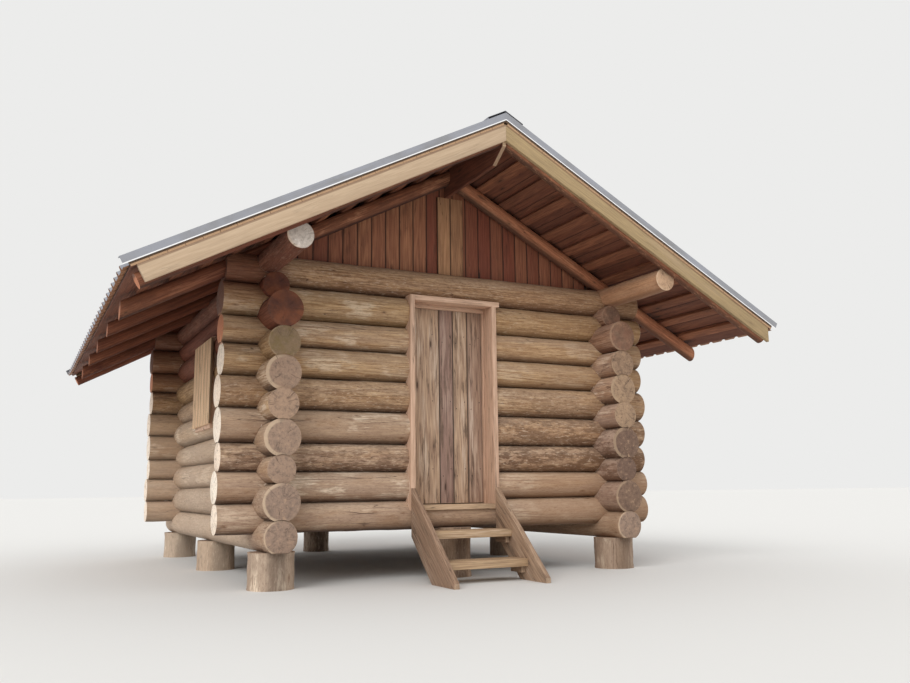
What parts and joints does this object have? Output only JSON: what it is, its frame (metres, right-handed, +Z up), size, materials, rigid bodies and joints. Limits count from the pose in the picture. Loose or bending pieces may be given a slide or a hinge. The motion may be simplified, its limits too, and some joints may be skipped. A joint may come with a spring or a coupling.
{
  "type": "log cabin",
  "caption": "Log cabin on stump piers: saddle-notched log walls, plank door and steps, pole rafters, ribbed metal roof.",
  "frame": {"origin": "on level ground, midway between the four log walls", "axes": "+X to the right along the front wall, +Y from the front wall to the rear wall, +Z up"},
  "size_m": [6.6208, 6.7252, 4.3233],
  "materials": {
    "pier_log": "weathered",
    "wall_log": "weathered",
    "plate_log": "weathered",
    "floor_wood": "rough sawn",
    "door_plank": "rough sawn",
    "door_board": "weathered",
    "shutter_board": "rough sawn",
    "rafter_pole": "rough sawn",
    "roof_wood": "rough sawn",
    "fascia_board": "rough sawn",
    "gable_board": "rough sawn",
    "step_plank": "weathered",
    "roof_metal": "satin",
    "hinge_iron": "matt"
  },
  "bodies": {
    "cabin": {"corner_piers": "pier_log", "middle_piers": "pier_log", "side_sill_logs": "wall_log", "left_wall_logs": "wall_log", "right_wall_logs": "wall_log", "left_plate_log": "plate_log", "right_plate_log": "plate_log", "front_sill_log": "wall_log", "front_wall_logs_left": "wall_log", "front_wall_logs_right": "wall_log", "rear_sill_log": "wall_log", "rear_wall_logs": "wall_log", "header_logs": "wall_log", "floor_joists": "floor_wood", "floor_boards": "floor_wood", "door_jambs": "door_plank", "door_head": "door_plank", "threshold": "door_plank", "hinge_plates": "hinge_iron", "window_frames": "door_plank", "left_shutter": "shutter_board", "right_shutter": "shutter_board", "right_rafters": "rafter_pole", "left_rafters": "rafter_pole", "right_purlins": "roof_wood", "left_purlins": "roof_wood", "right_roof_deck": "roof_wood", "left_roof_deck": "roof_wood", "right_roof_sheet": "roof_metal", "left_roof_sheet": "roof_metal", "front_fascia": "fascia_board", "rear_fascia": "fascia_board", "rake_strips": "roof_wood", "rake_flashing": "roof_metal", "ridge_cap": "roof_metal", "ridge_beam": "roof_wood", "front_gable_boards": "gable_board", "rear_gable_boards": "gable_board", "gable_posts": "gable_board", "step_stringers": "step_plank", "step_treads": "step_plank", "step_cleats": "step_plank"},
    "door": {"door_boards": "door_board", "door_ledges": "door_board", "hinge_straps": "hinge_iron"}
  },
  "joints": [
    {"name": "door_hinge", "type": "hinge", "parent": "cabin", "child": "door", "pos_m": [-0.469, -2.025, 1.675], "axis": [0, 0, 1], "range_deg": [0, 95]}
  ]
}
